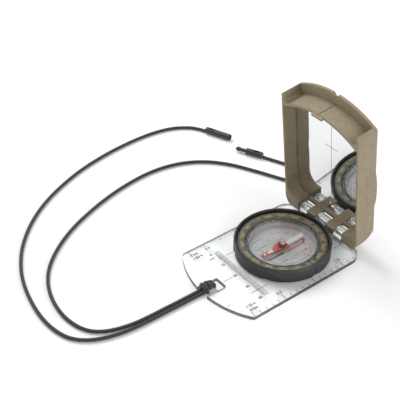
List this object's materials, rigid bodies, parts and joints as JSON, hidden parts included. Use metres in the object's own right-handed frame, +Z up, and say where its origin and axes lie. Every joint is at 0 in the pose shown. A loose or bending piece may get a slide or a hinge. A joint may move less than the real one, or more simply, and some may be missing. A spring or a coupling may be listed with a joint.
{
  "type": "mirror sighting compass",
  "caption": "Clear baseplate compass with a rotating bezel capsule, a folding mirror lid on a pin hinge and a doubled cord lanyard.",
  "frame": {"origin": "on the plate's flat underside, on its centre line between the capsule and the lanyard slot", "axes": "+X across the plate, +Y the direction of travel towards the lid hinge, +Z up out of the plate"},
  "size_m": [0.1636, 0.2006, 0.0877],
  "materials": {
    "clear_acrylic": "polished clear",
    "bezel_black": "satin",
    "dial_olive": "matte luminous print",
    "seal_rubber": "matte",
    "printed_disc": "satin",
    "needle_paint": "satin",
    "hub_black": "satin",
    "bright_steel": "polished",
    "lid_tan": "fine speckle",
    "mirror_glass": "polished",
    "foam_pad": "matte",
    "washer_nylon": "satin",
    "cord_dark": "braided",
    "connector_black": "satin"
  },
  "bodies": {
    "base": {"baseplate": "clear_acrylic", "hinge_pin": "bright_steel", "friction_washer_left": "washer_nylon", "friction_washer_right": "washer_nylon", "lanyard_hitch": "cord_dark", "lanyard_outer_strand": "cord_dark", "lanyard_inner_strand": "cord_dark", "socket_connector": "connector_black", "plug_connector": "connector_black"},
    "dial": {"bezel_ring": "bezel_black", "dial_ring": "dial_olive", "retaining_ring": "bezel_black", "capsule_cup": "clear_acrylic", "capsule_dome": "clear_acrylic", "capsule_seal": "seal_rubber", "orienting_disc": "printed_disc", "pivot_pin": "bright_steel"},
    "needle": {"compass_needle": "needle_paint", "needle_hub": "hub_black", "jewel_cap": "bright_steel"},
    "lid": {"mirror_cover": "lid_tan", "mirror": "mirror_glass", "mirror_pad": "foam_pad"}
  },
  "joints": [
    {"name": "lid_hinge", "type": "hinge", "parent": "base", "child": "lid", "pos_m": [0, 0.0636, 0.0064], "axis": [-1, 0, 0], "range_deg": [-83.2, 96.8]},
    {"name": "bezel_turn", "type": "hinge", "parent": "base", "child": "dial", "pos_m": [0, 0.033, 0.0065], "axis": [0, 0, 1], "continuous": true},
    {"name": "needle_swing", "type": "hinge", "parent": "dial", "child": "needle", "pos_m": [0, 0.033, 0.005], "axis": [0, 0, 1], "continuous": true}
  ]
}
